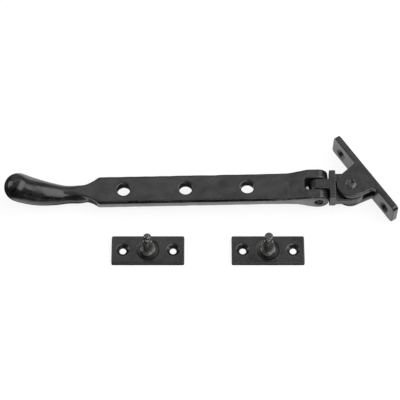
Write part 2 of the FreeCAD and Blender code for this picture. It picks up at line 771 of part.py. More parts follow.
def check(parts):
    """Stop if any object failed or any sub-part's shape is missing or unsound."""
    for thing in DOC.Objects:
        if "Invalid" in thing.State or "Error" in thing.State:
            raise RuntimeError("failed: " + thing.Name)
    for name, part in parts.items():
        if part.Shape.isNull() or not part.Shape.isValid() or len(part.Shape.Solids) != 1:
            raise RuntimeError("unsound: " + name)


def main():
    """Build the set, lay it out and write one STEP file for each sub-part."""
    parts = {
        "stay_arm": make_arm(),
        "hinge_pin": make_hinge_pin(),
        "swivel": make_swivel(),
        "bracket": make_bracket(),
        "pivot_rivet": make_rivet(),
    }
    for side in ("left", "right"):
        parts["pin_plate_" + side] = make_pad("pin_plate_" + side)
        parts["peg_" + side] = make_peg("peg_" + side, side + "_tip")
    DOC.recompute()
    frames = lay_out(parts)
    check(parts)
    report(frames)
    os.makedirs("parts", exist_ok=True)
    for name, part in parts.items():
        part.Shape.exportStep("parts/%s.step" % name)
        print("wrote %s: %.1f mm3" % (name, part.Shape.Volume))


main()
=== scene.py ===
"""Dress a casement window stay: forged arm, swivel, fixing bracket and two pin plates.

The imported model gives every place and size. Each solid is turned into hand-forged iron by a
Geometry Nodes tree, the pegs are turned on a second tree, and a plain studio stands around them.
"""

from __future__ import annotations

import logging
import math
from dataclasses import dataclass, field
from enum import Enum
from typing import Any

import bpy
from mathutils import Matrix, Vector


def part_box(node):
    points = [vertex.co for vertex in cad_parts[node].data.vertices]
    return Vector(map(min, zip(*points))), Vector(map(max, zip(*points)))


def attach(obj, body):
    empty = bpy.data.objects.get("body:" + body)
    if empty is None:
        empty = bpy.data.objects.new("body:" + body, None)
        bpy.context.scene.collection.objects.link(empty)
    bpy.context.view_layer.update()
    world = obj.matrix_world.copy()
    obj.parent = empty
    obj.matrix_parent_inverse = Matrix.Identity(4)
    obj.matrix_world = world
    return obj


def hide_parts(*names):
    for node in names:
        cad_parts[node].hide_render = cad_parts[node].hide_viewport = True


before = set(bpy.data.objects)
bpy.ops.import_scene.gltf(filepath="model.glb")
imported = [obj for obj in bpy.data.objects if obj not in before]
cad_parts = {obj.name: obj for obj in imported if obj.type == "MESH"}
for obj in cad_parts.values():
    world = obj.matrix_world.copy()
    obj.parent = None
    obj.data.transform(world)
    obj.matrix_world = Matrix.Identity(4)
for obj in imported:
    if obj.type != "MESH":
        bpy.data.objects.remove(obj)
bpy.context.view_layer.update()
LOG = logging.getLogger("window_stay")
MM = 0.001
# Point attribute of how proud each point stands: the paint turns pale there, partly as rubbed
# wear and partly as a painted highlight.
WEAR_AND_HIGHLIGHT = "edge_wear_and_highlight"

# Where the camera aims: this far to the left of the hinge pin and before it, in millimetres.
AIM_LEFT = 83.4
AIM_AHEAD = 2.7


# ---------------------------------------------------------------- shared helpers

def linear(code: str) -> tuple[float, float, float, float]:
    """Turn an sRGB hex code into a linear colour.

    Args:
        code: Six hex digits after a hash sign.

    Returns:
        Red, green, blue and an alpha of one.
    """
    parts = [int(code[start:start + 2], 16) / 255 for start in (1, 3, 5)]
    curved = [p / 12.92 if p <= 0.04045 else ((p + 0.055) / 1.055) ** 2.4 for p in parts]
    return (*curved, 1.0)


def add_node(tree: bpy.types.NodeTree, kind: str, inputs: dict[Any, Any] | None = None,
             **settings: Any) -> bpy.types.Node:
    """Add one node with its settings, its constant sockets and its links.

    Args:
        tree: The node tree that gets the node.
        kind: The node's type name.
        inputs: Socket name or number, each with a value or with the socket that feeds it.
        **settings: Properties of the node itself.

    Returns:
        The new node.
    """
    node = tree.nodes.new(kind)
    for name, value in settings.items():
        setattr(node, name, value)
    for name, value in (inputs or {}).items():
        if isinstance(value, bpy.types.NodeSocket):
            tree.links.new(value, node.inputs[name])
        else:
            node.inputs[name].default_value = value
    return node


def maths(tree: bpy.types.NodeTree, operation: str, first: Any, second: Any = 0.0,
          **settings: Any) -> bpy.types.NodeSocket:
    """Return the result of a sum on one or two numbers or sockets."""
    return add_node(tree, "ShaderNodeMath", {0: first, 1: second}, operation=operation,
                    **settings).outputs["Value"]


def ramp(tree: bpy.types.NodeTree, value: Any, start: Any, end: Any, low: float = 0.0,
         high: float = 1.0, smooth: bool = True) -> bpy.types.NodeSocket:
    """Return a value that runs from low at the start to high at the end.

    Args:
        tree: The node tree.
        value: The socket that is read.
        start: The reading that gives low.
        end: The reading that gives high.
        low: The result at the start and before it.
        high: The result at the end and past it.
        smooth: Whether the run eases in and out.

    Returns:
        The result's socket.
    """
    return add_node(tree, "ShaderNodeMapRange", {
        "Value": value, "From Min": start, "From Max": end, "To Min": low, "To Max": high},
        interpolation_type="SMOOTHSTEP" if smooth else "LINEAR").outputs["Result"]


class Mixed(Enum):
    """What a mix node mixes: its data type, its first input's number and its output's."""

    NUMBER = ("FLOAT", 2, 0)
    PLACE = ("VECTOR", 4, 1)
    COLOUR = ("RGBA", 6, 2)


def mix(tree: bpy.types.NodeTree, kind: Mixed, share: Any, first: Any,
        second: Any) -> bpy.types.NodeSocket:
    """Return the first value where the share is zero and the second where it is one."""
    data_type, start, result = kind.value
    return add_node(tree, "ShaderNodeMix", {
        "Factor": share, start: first, start + 1: second},
        data_type=data_type).outputs[result]


def blend(tree: bpy.types.NodeTree, share: Any, first: bpy.types.NodeSocket,
          second: bpy.types.NodeSocket) -> bpy.types.NodeSocket:
    """Return the first shader where the share is zero and the second where it is one."""
    return add_node(tree, "ShaderNodeMixShader", {
        0: share, 1: first, 2: second}).outputs["Shader"]


def blank_tree(owner: bpy.types.Material | bpy.types.World) -> bpy.types.NodeTree:
    """Return the owner's node tree with nothing in it."""
    owner.use_nodes = True
    owner.node_tree.nodes.clear()
    return owner.node_tree


def node_group(name: str, sockets: list[tuple[str, str]]) -> tuple[
        bpy.types.NodeTree, bpy.types.Node, bpy.types.Node]:
    """Start a Geometry Nodes tree with a geometry output and named inputs.

    Args:
        name: The tree's name.
        sockets: Each input's name and socket type, after the geometry input.

    Returns:
        The tree, its input node and its output node.
    """
    tree = bpy.data.node_groups.new(name, "GeometryNodeTree")
    tree.interface.new_socket("Geometry", in_out="OUTPUT", socket_type="NodeSocketGeometry")
    tree.interface.new_socket("Geometry", in_out="INPUT", socket_type="NodeSocketGeometry")
    for label, kind in sockets:
        tree.interface.new_socket(label, in_out="INPUT", socket_type=kind)
    return tree, tree.nodes.new("NodeGroupInput"), tree.nodes.new("NodeGroupOutput")


def run_tree(piece: bpy.types.Object, tree: bpy.types.NodeTree,
             values: dict[str, Any]) -> bpy.types.Object:
    """Run a tree on a piece and keep the result as its plain mesh.

    Args:
        piece: The object that the tree works on, with any modifiers before it.
        tree: The Geometry Nodes tree.
        values: The tree's inputs by name.

    Returns:
        A mesh object at the origin with the piece's name and no modifiers.
    """
    modifier = piece.modifiers.new(tree.name, "NODES")
    modifier.node_group = tree
    for socket in tree.interface.items_tree:
        if socket.in_out == "INPUT" and socket.name in values:
            modifier[socket.identifier] = values[socket.name]
    graph = bpy.context.evaluated_depsgraph_get()
    mesh = bpy.data.meshes.new_from_object(
        piece.evaluated_get(graph), preserve_all_data_layers=True, depsgraph=graph)
    name = piece.name
    source = piece.data
    bpy.data.objects.remove(piece)
    if isinstance(source, bpy.types.Curve):
        bpy.data.curves.remove(source)
    else:
        bpy.data.meshes.remove(source)
    made = bpy.data.objects.new(name, mesh)
    mesh.name = name
    bpy.context.scene.collection.objects.link(made)
    return made


def centre_of(node: str) -> Vector:
    """Return the middle of a CAD node's box."""
    low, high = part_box(node)
    return (low + high) / 2


# ---------------------------------------------------------------- finishes

class Sheen(Enum):
    """How shiny a finish is left, as the roughness of its high and low spots."""

    WAXED = (0.15, 0.30)
    TURNED = (0.16, 0.28)
    PEENED = (0.14, 0.32)
    DULL = (0.45, 0.70)


# Where the noises count as low and high, and how much of each effect is kept.
NOISE_ROUGHNESS = 0.55
CLOUD_SPAN = (0.35, 0.65)
SPECK_SPAN = (0.35, 0.7)
SPECK_SHARE = 0.45
GLOSS_SPAN = (0.3, 0.7)
# The most pale edge colour a point gets: rubbed wear and a painted highlight.
MOST_RUB_AND_HIGHLIGHT = 0.7


@dataclass(frozen=True)
class BlackIron:
    """Malleable iron, cast and hammered, then stoved with black paint and waxed.

    The paint is a thin dielectric coat over a rough casting: almost black, a soft shine that
    breaks up over the grain. Proud edges turn slightly grey, partly as rubbed wear and partly
    as a painted highlight. Sizes and heights are in millimetres, and the wear-and-highlight
    thresholds count in millimetres proud of the surface.
    """

    name: str
    deep: str = "#0c0b0c"
    dusty: str = "#262425"
    rub_and_highlight: str = "#3d3a38"
    sheen: Sheen = Sheen.WAXED
    cloud: float = 11.0
    grain: float = 1.3
    pit: float = 0.7
    grain_height: float = 0.022
    pit_height: float = 0.02
    wear_highlight_from: float = 0.10
    wear_highlight_to: float = 0.40
    index: float = 1.55

    def material(self) -> bpy.types.Material:
        """Build the finish as a node material on object coordinates."""
        made = bpy.data.materials.new(self.name)
        tree = blank_tree(made)
        place = add_node(tree, "ShaderNodeTexCoord").outputs["Object"]
        cloud = self._noise(tree, place, self.cloud, 3.0)
        grain = self._noise(tree, place, self.grain, 4.0)
        pit = self._noise(tree, place, self.pit, 2.0)
        spread = ramp(tree, cloud, *CLOUD_SPAN)
        speckle = ramp(tree, grain, *SPECK_SPAN, 0.0, SPECK_SHARE, smooth=False)
        dust = maths(tree, "ADD", spread, speckle, use_clamp=True)
        paint = mix(tree, Mixed.COLOUR, dust, linear(self.deep), linear(self.dusty))
        # Pale colour on proud edges: partly rubbed wear, partly a painted highlight.
        colour = mix(tree, Mixed.COLOUR, self._wear_and_highlight(tree, grain), paint, linear(self.rub_and_highlight))
        gloss = ramp(tree, grain, *GLOSS_SPAN, *self.sheen.value, smooth=False)
        low = add_node(tree, "ShaderNodeBump", {
            "Height": grain, "Distance": self.grain_height * MM, "Strength": 1.0})
        fine = add_node(tree, "ShaderNodeBump", {
            "Height": pit, "Distance": self.pit_height * MM, "Strength": 1.0,
            "Normal": low.outputs["Normal"]})
        coat = add_node(tree, "ShaderNodeBsdfPrincipled", {
            "Base Color": colour, "Roughness": gloss, "Normal": fine.outputs["Normal"],
            "IOR": self.index})
        add_node(tree, "ShaderNodeOutputMaterial", {"Surface": coat.outputs["BSDF"]})
        return made

    def _noise(self, tree: bpy.types.NodeTree, place: bpy.types.NodeSocket, size: float,
               detail: float) -> bpy.types.NodeSocket:
        """Return a noise whose patches are about the given size in millimetres."""
        return add_node(tree, "ShaderNodeTexNoise", {
            "Vector": place, "Scale": 1 / (size * MM), "Detail": detail,
            "Roughness": NOISE_ROUGHNESS}).outputs["Fac"]

    def _wear_and_highlight(self, tree: bpy.types.NodeTree,
              grain: bpy.types.NodeSocket) -> bpy.types.NodeSocket:
        """Return the pale edge colour's share: rubbed wear plus a painted highlight on proud
        edges.
        """
        edge = add_node(tree, "ShaderNodeAttribute", attribute_name=WEAR_AND_HIGHLIGHT).outputs["Fac"]
        rub_and_highlight = ramp(tree, edge, self.wear_highlight_from, self.wear_highlight_to, high=MOST_RUB_AND_HIGHLIGHT)
        return maths(tree, "MULTIPLY", rub_and_highlight, grain, use_clamp=True)


# ---------------------------------------------------------------- what both trees share

class SurfaceTree:
    """Geometry Nodes tree that shapes a piece, marks proud edges for wear and a painted
    highlight, and gives its finish.
    """

    def __init__(self, name: str, sockets: list[tuple[str, str]]) -> None:
        """Start the tree.

        Args:
            name: The tree's name.
            sockets: Each input's name and socket type, before the seed and the finish.
        """
        self.tree, self._in, self._out = node_group(name, [
            *sockets, ("Seed", "NodeSocketFloat"), ("Finish", "NodeSocketMaterial")])

    def _add(self, kind: str, inputs: dict[Any, Any] | None = None,
             **settings: Any) -> bpy.types.Node:
        """Add a node to this tree."""
        return add_node(self.tree, kind, inputs, **settings)

    def _maths(self, operation: str, first: Any, second: Any = 0.0) -> bpy.types.NodeSocket:
        """Return the result of a sum on one or two numbers or sockets."""
        return maths(self.tree, operation, first, second)

    def _place(self) -> bpy.types.NodeSocket:
        """Return each point's own place."""
        return self._add("GeometryNodeInputPosition").outputs["Position"]

    def _along(self) -> bpy.types.NodeSocket:
        """Return each point's place along X."""
        return self._add("ShaderNodeSeparateXYZ", {"Vector": self._place()}).outputs["X"]

    def _scaled(self, way: bpy.types.NodeSocket,
                length: bpy.types.NodeSocket) -> bpy.types.NodeSocket:
        """Return a direction times a length."""
        return self._add("ShaderNodeVectorMath", {0: way, "Scale": length},
                         operation="SCALE").outputs["Vector"]

    def _moved(self, geometry: bpy.types.NodeSocket, **move: Any) -> bpy.types.NodeSocket:
        """Return the geometry with its points at a new Position or moved by an Offset."""
        return self._add("GeometryNodeSetPosition", {
            "Geometry": geometry, **move}).outputs["Geometry"]

    def _blurred(self, steps: Any) -> bpy.types.NodeSocket:
        """Return each point's place averaged with its neighbours'."""
        return self._add("GeometryNodeBlurAttribute", {
            "Value": self._place(), "Iterations": steps},
            data_type="FLOAT_VECTOR").outputs["Value"]

    def _edge(self, steps: Any) -> bpy.types.NodeSocket:
        """Return how far each point stands proud of its neighbourhood, in millimetres."""
        proud = self._add("ShaderNodeVectorMath", {
            0: self._place(), 1: self._blurred(steps)},
            operation="SUBTRACT").outputs["Vector"]
        normal = self._add("GeometryNodeInputNormal").outputs["Normal"]
        height = self._add("ShaderNodeVectorMath", {0: proud, 1: normal},
                           operation="DOT_PRODUCT").outputs["Value"]
        return self._maths("DIVIDE", height, MM)

    def _close(self, geometry: bpy.types.NodeSocket, wear_highlight_reach: Any) -> None:
        """Mark proud edges for wear and a painted highlight, shade smoothly, set the finish and
        link the output.
        """
        marked = self._add("GeometryNodeStoreNamedAttribute", {
            "Geometry": geometry, "Name": WEAR_AND_HIGHLIGHT, "Value": self._edge(wear_highlight_reach)},
            data_type="FLOAT", domain="POINT")
        smooth = self._add("GeometryNodeSetShadeSmooth", {
            "Geometry": marked.outputs["Geometry"]})
        real = self._add("GeometryNodeRealizeInstances", {
            "Geometry": smooth.outputs["Geometry"]})
        dressed = self._add("GeometryNodeSetMaterial", {
            "Geometry": real.outputs["Geometry"], "Material": self._in.outputs["Finish"]})
        self.tree.links.new(dressed.outputs["Geometry"], self._out.inputs["Geometry"])


# ---------------------------------------------------------------- the smith's tree

WELD_GAP = 1e-6     # metres between corners that count as one
DENT_BLEND = 0.6    # how far neighbouring dents run into each other
DENT_EDGE = 0.75    # where a dent ends, as a share of its size

@dataclass(frozen=True)
class Hammering:
    """How a surface was left by the mould and the hammer.

    Sizes are in millimetres. Roundings and the reach of the wear-and-highlight edge mark count
    steps of the grid.
    """

    grid: float
    rounding: int
    dent_depth: float
    dent_size: float
    ripple_depth: float
    ripple_size: float
    seed: int
    wear_highlight_reach: int = 14
    soft_rounding: int = 0


@dataclass(frozen=True)
class Bevel:
    """A plane that breaks one long edge, in metres.

    It fades in along X from start to end, and stops beyond the far place.
    """

    way: Vector = Vector((0.0, 0.0, 1.0))
    level: float = 1.0
    start: float = 0.0
    end: float = 1.0
    far: float = -1.0


class ForgeTree(SurfaceTree):
    """Geometry Nodes tree that rounds, dents and ripples a solid and marks proud edges for wear
    and a painted highlight.
    """

    def __init__(self) -> None:
        """Build the tree with named inputs for its sizes."""
        super().__init__("forged_surface", [
            ("Rounding", "NodeSocketInt"), ("Soft Rounding", "NodeSocketInt"),
            ("Soft From", "NodeSocketFloat"), ("Soft To", "NodeSocketFloat"),
            ("Bevel Way", "NodeSocketVector"), ("Bevel Level", "NodeSocketFloat"),
            ("Bevel From", "NodeSocketFloat"), ("Bevel To", "NodeSocketFloat"),
            ("Bevel Far", "NodeSocketFloat"), ("Dent Depth", "NodeSocketFloat"),
            ("Dent Size", "NodeSocketFloat"), ("Ripple Depth", "NodeSocketFloat"),
            ("Ripple Size", "NodeSocketFloat"), ("Wear Highlight Reach", "NodeSocketInt")])
        rounded = self._moved(self._in.outputs["Geometry"], Position=self._rounded())
        broken = self._moved(rounded, Offset=self._bevelled())
        hammered = self._moved(broken, Offset=self._sunk())
        self._close(hammered, self._in.outputs["Wear Highlight Reach"])

    def _rounded(self) -> bpy.types.NodeSocket:
        """Return each point's place with its edges rounded, more so beyond the soft start."""
        share = ramp(self.tree, self._along(), self._in.outputs["Soft From"],
                     self._in.outputs["Soft To"])
        return mix(self.tree, Mixed.PLACE, share, self._blurred(self._in.outputs["Rounding"]),
                   self._blurred(self._in.outputs["Soft Rounding"]))

    def _bevelled(self) -> bpy.types.NodeSocket:
        """Return the offset that sinks what stands past the bevel's plane back onto it."""
        along = self._along()
        way = self._in.outputs["Bevel Way"]
        share = ramp(self.tree, along, self._in.outputs["Bevel From"],
                     self._in.outputs["Bevel To"])
        reach = self._add("ShaderNodeVectorMath", {0: self._place(), 1: way},
                          operation="DOT_PRODUCT").outputs["Value"]
        past = self._maths("MINIMUM", 0.0, self._maths(
            "SUBTRACT", self._in.outputs["Bevel Level"], reach))
        near = self._maths("GREATER_THAN", along, self._in.outputs["Bevel Far"])
        return self._scaled(way, self._maths(
            "MULTIPLY", self._maths("MULTIPLY", past, near), share))

    def _sunk(self) -> bpy.types.NodeSocket:
        """Return the offset that sinks hammer dents and ripples below the surface."""
        place, seed = self._place(), self._in.outputs["Seed"]
        blow = self._add("ShaderNodeTexVoronoi", {
            "Vector": place, "W": seed,
            "Scale": self._maths("DIVIDE", 1.0, self._in.outputs["Dent Size"]),
            "Smoothness": DENT_BLEND}, voronoi_dimensions="4D", feature="SMOOTH_F1")
        bowl = ramp(self.tree, blow.outputs["Distance"], 0.0, DENT_EDGE, 1.0, 0.0)
        wave = self._add("ShaderNodeTexNoise", {
            "Vector": place, "W": seed,
            "Scale": self._maths("DIVIDE", 1.0, self._in.outputs["Ripple Size"]),
            "Detail": 2.0, "Roughness": 0.5}, noise_dimensions="4D")
        dent = self._maths("MULTIPLY", bowl, self._in.outputs["Dent Depth"])
        ripple = self._maths("MULTIPLY", wave.outputs["Fac"], self._in.outputs["Ripple Depth"])
        depth = self._maths("MULTIPLY", self._maths("ADD", dent, ripple), -1.0)
        return self._scaled(self._add("GeometryNodeInputNormal").outputs["Normal"], depth)

    def forge(self, node: str, name: str, way: Hammering, finish: bpy.types.Material,
              soft: tuple[float, float] = (0.0, 1.0),
              bevel: Bevel = Bevel()) -> bpy.types.Object:
        """Make a forged piece from a copy of a CAD node's closed surface.

        Args:
            node: The CAD node that gives the form.
            name: The new piece's name.
            way: How the surface was hammered.
            finish: The piece's material.
            soft: The places along X where the softer rounding starts and is full.
            bevel: The plane that breaks an edge.

        Returns:
            The finished piece, at the origin.
        """
        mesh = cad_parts[node].data.copy()
        piece = bpy.data.objects.new(name, mesh)
        mesh.materials.clear()
        bpy.context.scene.collection.objects.link(piece)
        weld = piece.modifiers.new("weld", "WELD")
        weld.merge_threshold = WELD_GAP
        skin = piece.modifiers.new("skin", "REMESH")
        skin.mode = "VOXEL"
        skin.voxel_size = way.grid * MM
        return run_tree(piece, self.tree, {
            "Rounding": way.rounding, "Dent Depth": way.dent_depth * MM,
            "Soft Rounding": way.soft_rounding or way.rounding,
            "Soft From": soft[0], "Soft To": soft[1],
            "Bevel Way": bevel.way, "Bevel Level": bevel.level,
            "Bevel From": bevel.start, "Bevel To": bevel.end, "Bevel Far": bevel.far,
            "Dent Size": way.dent_size * MM, "Ripple Depth": way.ripple_depth * MM,
            "Ripple Size": way.ripple_size * MM, "Wear Highlight Reach": way.wear_highlight_reach,
            "Seed": float(way.seed), "Finish": finish})


# ---------------------------------------------------------------- the lathe's tree

SEAM_GAP = 2e-6         # metres between corners that close the turned surface
LATHE_WEAR_HIGHLIGHT_REACH = 8    # steps of the turned grid
WOBBLE_SCALE = 400.0
STEPS_ROUND = 97
STEPS_ALONG = 220
CORNER_STEPS = 5
CORNER = 0.35           # millimetres, like the two below
RING_DEPTH = 0.012
RING_PITCH = 0.55

class LatheTree(SurfaceTree):
    """Geometry Nodes tree that turns a profile, drawn in X and Z, about an upright axis."""

    def __init__(self) -> None:
        """Build the tree with named inputs for its sizes."""
        super().__init__("turned_surface", [
            ("Centre", "NodeSocketVector"), ("Corner", "NodeSocketFloat"),
            ("Steps Round", "NodeSocketInt"), ("Steps Along", "NodeSocketInt"),
            ("Ring Depth", "NodeSocketFloat"), ("Ring Pitch", "NodeSocketFloat")])
        soft = self._add("GeometryNodeFilletCurve", {
            "Curve": self._in.outputs["Geometry"], "Radius": self._in.outputs["Corner"],
            "Count": CORNER_STEPS, "Limit Radius": True}, mode="POLY")
        grid = self._add("GeometryNodeMeshGrid", {
            "Size X": 1.0, "Size Y": 1.0, "Vertices X": self._in.outputs["Steps Round"],
            "Vertices Y": self._in.outputs["Steps Along"]})
        turned = self._moved(grid.outputs["Mesh"],
                             Position=self._turned(soft.outputs["Curve"]))
        closed = self._add("GeometryNodeMergeByDistance", {
            "Geometry": turned, "Distance": SEAM_GAP})
        self._close(closed.outputs["Geometry"], LATHE_WEAR_HIGHLIGHT_REACH)

    def _turned(self, profile: bpy.types.NodeSocket) -> bpy.types.NodeSocket:
        """Return each grid point's place on the turned surface."""
        across = self._add("ShaderNodeSeparateXYZ", {"Vector": self._place()})
        share = self._maths("ADD", across.outputs["Y"], 0.5)
        angle = self._maths("MULTIPLY", across.outputs["X"], 2 * math.pi)
        taken = self._add("GeometryNodeSampleCurve", {
            "Curves": profile, "Factor": share}, mode="FACTOR", use_all_curves=True)
        point = self._add("ShaderNodeSeparateXYZ", {"Vector": taken.outputs["Position"]})
        turns = self._maths("DIVIDE", point.outputs["Z"], self._in.outputs["Ring Pitch"])
        ring = self._maths("SINE", self._maths("MULTIPLY", turns, 2 * math.pi))
        cut = self._maths("MULTIPLY", self._maths("SUBTRACT", ring, 1.0),
                          self._in.outputs["Ring Depth"])
        faded = self._maths("MULTIPLY", cut, self._maths(
            "MINIMUM", self._maths("DIVIDE", point.outputs["X"], MM), 1.0))
        radius = self._maths("ADD", point.outputs["X"], faded)
        wobble = self._add("ShaderNodeTexNoise", {
            "Vector": taken.outputs["Position"], "W": self._in.outputs["Seed"],
            "Scale": WOBBLE_SCALE}, noise_dimensions="4D")
        radius = self._maths("ADD", radius, self._maths(
            "MULTIPLY", self._maths("SUBTRACT", wobble.outputs["Fac"], 1.0),
            self._maths("MULTIPLY", faded, -1.0)))
        offset = self._add("ShaderNodeCombineXYZ", {
            "X": self._maths("MULTIPLY", radius, self._maths("COSINE", angle)),
            "Y": self._maths("MULTIPLY", radius, self._maths("SINE", angle)),
            "Z": point.outputs["Z"]})
        return self._add("ShaderNodeVectorMath", {
            0: offset.outputs["Vector"], 1: self._in.outputs["Centre"]},
            operation="ADD").outputs["Vector"]

    def turn(self, name: str, outline: list[tuple[float, float]], centre: Vector, seed: int,
             finish: bpy.types.Material) -> bpy.types.Object:
        """Make a turned piece.

        Args:
            name: The piece's name.
            outline: Radius and height pairs from the foot to the top, in millimetres.
            centre: A point of the axis, at the height from which the pairs count.
            seed: The seed of its wobble.
            finish: The piece's material.

        Returns:
            The finished piece, at the origin.
        """
        curve = bpy.data.curves.new(name, "CURVE")
        curve.dimensions = "3D"
        line = curve.splines.new("POLY")
        line.points.add(len(outline) - 1)
        for point, (radius, height) in zip(line.points, outline):
            point.co = (radius * MM, 0, height * MM, 1)
        piece = bpy.data.objects.new(name, curve)
        bpy.context.scene.collection.objects.link(piece)
        return run_tree(piece, self.tree, {
            "Centre": centre, "Corner": CORNER * MM, "Steps Round": STEPS_ROUND,
            "Steps Along": STEPS_ALONG, "Ring Depth": RING_DEPTH * MM,
            "Ring Pitch": RING_PITCH * MM, "Seed": float(seed), "Finish": finish})


# ---------------------------------------------------------------- the sub-assemblies

@dataclass
class StayArm:
    """The arm: flat bar with its fork and peg holes, bulb handle and hinge pin.

    The softer rounding and the bevel's ends count in millimetres back from the hinge pin.
    The bar leans and turns by the given degrees, and its corner lies half its width and half
    its thickness from its middle line.
    """

    forge: ForgeTree
    iron: bpy.types.Material
    steel: bpy.types.Material
    body: str = "arm"
    bar: Hammering = Hammering(grid=0.46, rounding=2, soft_rounding=7, dent_depth=0.16,
                               dent_size=9.0, ripple_depth=0.22, ripple_size=15.0, seed=3)
    soft_start: float = 24.0
    soft_end: float = 34.0
    lean: float = 0.8782
    turn: float = 0.8
    corner: float = 14.6
    bevel_leg: float = 1.5
    bevel_start: float = 27.0
    bevel_end: float = 38.0
    bevel_far: float = 170.0
    pin: Hammering = Hammering(grid=0.2, rounding=1, dent_depth=0.8, dent_size=1.7,
                               ripple_depth=0.05, ripple_size=2.5, seed=11)

    def _front_edge(self, hinge: Vector) -> Bevel:
        """Return the plane that breaks the bar's upper front edge along its length.

        The broken edge faces low and forward, so the eye sees it as a thin black line
        between the bar's top and its paler front face.
        """
        lean, turn = math.radians(self.lean), math.radians(self.turn)
        along = Vector((math.cos(turn), math.sin(turn), math.tan(lean))).normalized()
        up = Vector((-math.sin(lean), 0.0, math.cos(lean)))
        way = (along.cross(up) + up).normalized()
        level = hinge.dot(way) + (self.corner - self.bevel_leg) * MM / math.sqrt(2.0)
        return Bevel(way, level, hinge.x - self.bevel_start * MM,
                     hinge.x - self.bevel_end * MM, hinge.x - self.bevel_far * MM)

    def build(self) -> list[bpy.types.Object]:
        """Make the bar and the pin and put them on the arm's body."""
        hinge = centre_of("hinge_pin")
        bar = self.forge.forge("stay_arm", "forged_arm", self.bar, self.iron, (
            hinge.x - self.soft_start * MM, hinge.x - self.soft_end * MM),
            self._front_edge(hinge))
        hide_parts("stay_arm")
        pin = self.forge.forge("hinge_pin", "peened_hinge_pin", self.pin, self.steel)
        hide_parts("hinge_pin")
        return [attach(bar, self.body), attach(pin, self.body)]


@dataclass
class SwivelKnuckle:
    """The knuckle between fork and bracket: tongue, square flange and flat lug."""

    forge: ForgeTree
    iron: bpy.types.Material
    body: str = "swivel"
    way: Hammering = Hammering(grid=0.3, rounding=3, dent_depth=0.06, dent_size=7.0,
                               ripple_depth=0.06, ripple_size=9.0, seed=5)

    def build(self) -> list[bpy.types.Object]:
        """Make the knuckle and put it on its body."""
        knuckle = self.forge.forge("swivel", "forged_knuckle", self.way, self.iron)
        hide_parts("swivel")
        return [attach(knuckle, self.body)]


@dataclass
class FixingBracket:
    """The fixing plate with its pair of ears and the rivet peened through them."""

    forge: ForgeTree
    iron: bpy.types.Material
    steel: bpy.types.Material
    body: str = "bracket"
    plate: Hammering = Hammering(grid=0.34, rounding=7, dent_depth=0.06, dent_size=8.0,
                                 ripple_depth=0.06, ripple_size=12.0, seed=7)
    rivet: Hammering = Hammering(grid=0.17, rounding=1, dent_depth=0.9, dent_size=2.6,
                                 ripple_depth=0.12, ripple_size=1.6, seed=2)

    def build(self) -> list[bpy.types.Object]:
        """Make the bracket and the rivet and put them on the bracket's body."""
        plate = self.forge.forge("bracket", "forged_bracket", self.plate, self.iron)
        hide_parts("bracket")
        rivet = self.forge.forge("pivot_rivet", "peened_rivet", self.rivet, self.steel)
        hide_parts("pivot_rivet")
        return [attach(plate, self.body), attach(rivet, self.body)]


RIM_STEPS = 6                    # steps round the collar's upper edge
TIP_SHARES = (0.25, 0.5, 0.75)   # places on the quarter round of the peg's tip


class Side(Enum):
    """Which of the two pin plates, with the seed of its surface."""

    LEFT = 17
    RIGHT = 23


@dataclass
class PinPlate:
    """A screwed plate with the turned peg that the arm drops on, in millimetres."""

    forge: ForgeTree
    lathe: LatheTree
    iron: bpy.types.Material
    steel: bpy.types.Material
    side: Side
    tip_rise: float
    tip_flat: float
    tenon: float = 2.6
    seat: float = 2.9
    collar_top: float = 6.8
    collar_edge: float = 1.5
    shank: float = 3.5
    neck: float = 2.3
    tip: float = 2.95
    tip_long: float = 4.2
    groove_long: float = 2.2

    def build(self) -> list[bpy.types.Object]:
        """Make the plate and its peg and put them on the plate's body."""
        side = self.side.name.lower()
        body = side + "_pin_plate"
        way = Hammering(grid=0.3, rounding=8, dent_depth=0.05, dent_size=8.0,
                        ripple_depth=0.07, ripple_size=10.0, seed=self.side.value)
        plate = self.forge.forge("pin_plate_" + side, "hammered_plate_" + side, way, self.iron)
        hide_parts("pin_plate_" + side)
        peg = self.lathe.turn("turned_peg_" + side, self._outline(), self._axis(),
                              self.side.value, self.steel)
        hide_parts("peg_" + side)
        return [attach(plate, body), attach(peg, body)]

    def _axis(self) -> Vector:
        """Return the foot of the peg's axis."""
        low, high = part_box("peg_" + self.side.name.lower())
        return Vector(((low.x + high.x) / 2, (low.y + high.y) / 2, low.z))

    def _rim(self, collar: float) -> list[tuple[float, float]]:
        """Return the quarter round of the collar's upper edge, from its side to its top."""
        turns = [step * math.pi / (2 * RIM_STEPS) for step in range(RIM_STEPS + 1)]
        return [(collar - self.collar_edge * (1 - math.cos(turn)),
                 self.collar_top - self.collar_edge * (1 - math.sin(turn))) for turn in turns]

    def _outline(self) -> list[tuple[float, float]]:
        """Return the peg's radius and height pairs, foot to top, in millimetres."""
        low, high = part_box("peg_" + self.side.name.lower())
        top, collar = (high.z - low.z) / MM, (high.x - low.x) / 2 / MM
        groove = top - self.tip_long - self.groove_long
        ends = [(self.tip, top - self.tip_rise)]
        for share in TIP_SHARES:
            turn = share * math.pi / 2
            ends.append((self.tip_flat + (self.tip - self.tip_flat) * math.cos(turn),
                         top - self.tip_rise * (1 - math.sin(turn))))
        return [(0, 0), (self.tenon, 0), (self.tenon, self.seat), (collar, self.seat),
                *self._rim(collar), (self.shank, self.collar_top),
                (self.shank, groove), (self.neck, groove + self.groove_long / 2),
                (self.tip, top - self.tip_long), *ends, (self.tip_flat, top), (0, top)]


# ---------------------------------------------------------------- the studio

